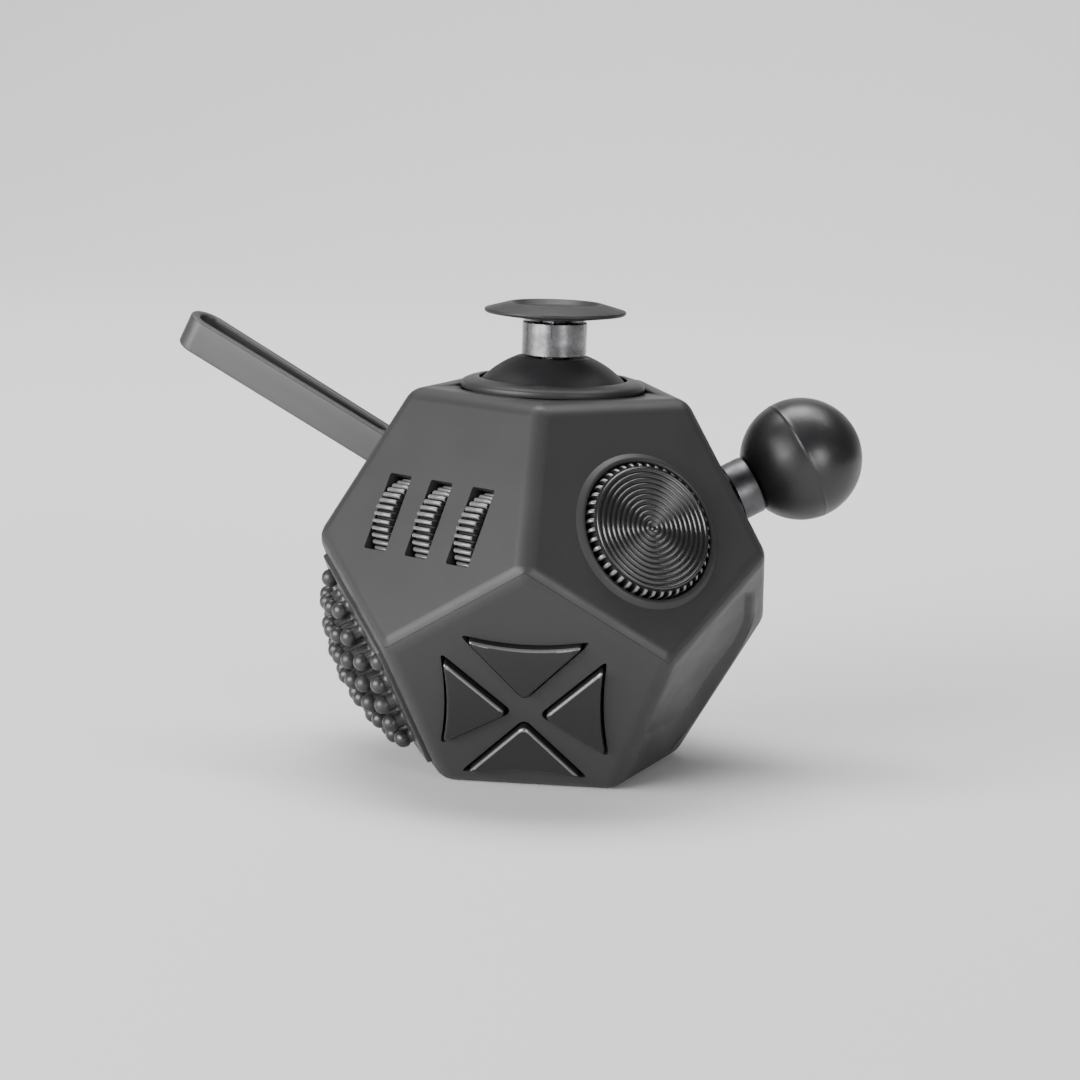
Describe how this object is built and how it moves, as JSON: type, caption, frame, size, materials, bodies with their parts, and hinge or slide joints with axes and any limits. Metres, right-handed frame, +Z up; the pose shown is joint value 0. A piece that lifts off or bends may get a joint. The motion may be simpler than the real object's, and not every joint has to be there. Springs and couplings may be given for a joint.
{
  "type": "fidget toy",
  "caption": "Handheld twelve-sided fidget toy with a joystick, thumb wheels, a grooved dial, a ball stick, a swing arm, push buttons and other finger controls on its faces.",
  "frame": {"origin": "centre of the flat face that it rests on", "axes": "+Z up through the joystick, +X to the ball stick's side, -Y towards the face with the push buttons"},
  "size_m": [0.0943, 0.0606, 0.0613],
  "materials": {
    "soft_touch_shell": "soft-touch matte, dark grey",
    "gloss_black": "satin to gloss black",
    "black_rubber": "satin black rubber",
    "grey_silicone": "soft silicone, dark grey",
    "inner_plastic": "plain moulded, grey",
    "steel": "turned steel"
  },
  "bodies": {
    "case": {"upper_shell": "soft_touch_shell", "lower_shell": "soft_touch_shell", "joystick_socket": "inner_plastic", "joystick_bezel": "soft_touch_shell", "joystick_spring": "steel", "ball_socket": "inner_plastic", "ball_cover": "soft_touch_shell", "ball_spring": "steel", "wheel_cradle": "inner_plastic", "wheel_axle": "steel", "wheel_screw_1": "steel", "wheel_screw_2": "steel", "dial_mount": "inner_plastic", "dial_screw_1": "steel", "dial_screw_2": "steel", "arm_bracket": "inner_plastic", "arm_pin": "steel", "rocker_frame": "gloss_black", "rocker_pin": "steel", "button_guide": "inner_plastic", "button_spring_top": "steel", "button_spring_left": "steel", "button_spring_bottom": "steel", "button_spring_right": "steel", "nub_pad": "grey_silicone", "roller_socket": "inner_plastic", "base_mount": "inner_plastic", "base_hub": "soft_touch_shell"},
    "joystick_ring": {"joystick_gimbal_ring": "inner_plastic"},
    "joystick": {"joystick_stem": "steel", "joystick_dome": "gloss_black", "joystick_collar": "steel", "joystick_cap": "black_rubber"},
    "ball_ring": {"ball_gimbal_ring": "inner_plastic"},
    "ball_stick": {"ball_stem": "steel", "ball_dome": "gloss_black", "ball_collar": "steel", "ball_knob": "black_rubber"},
    "wheel_1": {"thumb_wheel_1": "black_rubber"},
    "wheel_2": {"thumb_wheel_2": "black_rubber"},
    "wheel_3": {"thumb_wheel_3": "black_rubber"},
    "dial": {"dial": "black_rubber", "dial_retainer": "steel"},
    "arm": {"arm_lever": "soft_touch_shell"},
    "rocker": {"rocker": "black_rubber"},
    "button_top": {"button_top": "gloss_black"},
    "button_left": {"button_left": "gloss_black"},
    "button_bottom": {"button_bottom": "gloss_black"},
    "button_right": {"button_right": "gloss_black"},
    "slider": {"slider_knob": "gloss_black", "slider_clip": "inner_plastic"},
    "roller": {"roller_ball": "steel"},
    "base_ring": {"base_ring": "gloss_black"}
  },
  "joints": [
    {"name": "joystick_side_tilt", "type": "hinge", "parent": "case", "child": "joystick_ring", "pos_m": [0, 0, 0.04221], "axis": [1, 0, 0], "range_deg": [-12, 12], "stiffness_Nm_per_rad": 0.02},
    {"name": "joystick_cross_tilt", "type": "hinge", "parent": "joystick_ring", "child": "joystick", "pos_m": [0, 0, 0.04221], "axis": [0, 1, 0], "range_deg": [-12, 12], "stiffness_Nm_per_rad": 0.02, "deforming": ["joystick_spring"]},
    {"name": "ball_side_tilt", "type": "hinge", "parent": "case", "child": "ball_ring", "pos_m": [0.01923, 0.00625, 0.03349], "axis": [-0.309, 0.9511, 0], "range_deg": [-10, 10], "stiffness_Nm_per_rad": 0.05},
    {"name": "ball_cross_tilt", "type": "hinge", "parent": "ball_ring", "child": "ball_stick", "pos_m": [0.01923, 0.00625, 0.03349], "axis": [-0.4253, -0.1382, 0.8944], "range_deg": [-10, 10], "stiffness_Nm_per_rad": 0.05, "deforming": ["ball_spring"]},
    {"name": "thumb_wheel_1_spin", "type": "hinge", "parent": "case", "child": "wheel_1", "pos_m": [-0.01676, -0.01082, 0.03268], "axis": [0.809, -0.5878, 0], "continuous": true},
    {"name": "thumb_wheel_2_spin", "type": "hinge", "parent": "case", "child": "wheel_2", "pos_m": [-0.01094, -0.01505, 0.03268], "axis": [0.809, -0.5878, 0], "continuous": true},
    {"name": "thumb_wheel_3_spin", "type": "hinge", "parent": "case", "child": "wheel_3", "pos_m": [-0.00511, -0.01929, 0.03268], "axis": [0.809, -0.5878, 0], "continuous": true},
    {"name": "dial_spin", "type": "hinge", "parent": "case", "child": "dial", "pos_m": [0.01418, -0.01833, 0.03474], "axis": [0.5257, -0.7236, 0.4472], "continuous": true},
    {"name": "arm_swing", "type": "hinge", "parent": "case", "child": "arm", "pos_m": [-0.01734, 0.00511, 0.03733], "axis": [0.4253, -0.1382, 0.8944], "range_deg": [-42, 34]},
    {"name": "rocker_tilt", "type": "hinge", "parent": "case", "child": "rocker", "pos_m": [0, 0.02134, 0.03572], "axis": [-1, 0, 0], "range_deg": [-9, 9]},
    {"name": "button_top_press", "type": "slide", "parent": "case", "child": "button_top", "axis": [0, 0.8944, 0.4472], "range_m": [0, 0.0012], "stiffness_N_per_m": 400, "springref_m": -0.0006, "deforming": ["button_spring_top"]},
    {"name": "button_left_press", "type": "slide", "parent": "case", "child": "button_left", "axis": [0, 0.8944, 0.4472], "range_m": [0, 0.0012], "stiffness_N_per_m": 400, "springref_m": -0.0006, "deforming": ["button_spring_left"]},
    {"name": "button_bottom_press", "type": "slide", "parent": "case", "child": "button_bottom", "axis": [0, 0.8944, 0.4472], "range_m": [0, 0.0012], "stiffness_N_per_m": 400, "springref_m": -0.0006, "deforming": ["button_spring_bottom"]},
    {"name": "button_right_press", "type": "slide", "parent": "case", "child": "button_right", "axis": [0, 0.8944, 0.4472], "range_m": [0, 0.0012], "stiffness_N_per_m": 400, "springref_m": -0.0006, "deforming": ["button_spring_right"]},
    {"name": "slider_travel", "type": "slide", "parent": "case", "child": "slider", "axis": [-0.809, 0.5878, 0], "range_m": [-0.005, 0.005]},
    {"name": "roller_ball_spin", "type": "hinge", "parent": "case", "child": "roller", "pos_m": [-0.01096, 0.01509, 0.01573], "axis": [-0.809, -0.5878, 0], "continuous": true},
    {"name": "base_ring_spin", "type": "hinge", "parent": "case", "child": "base_ring", "pos_m": [0, 0, 0], "axis": [0, 0, -1], "continuous": true}
  ]
}
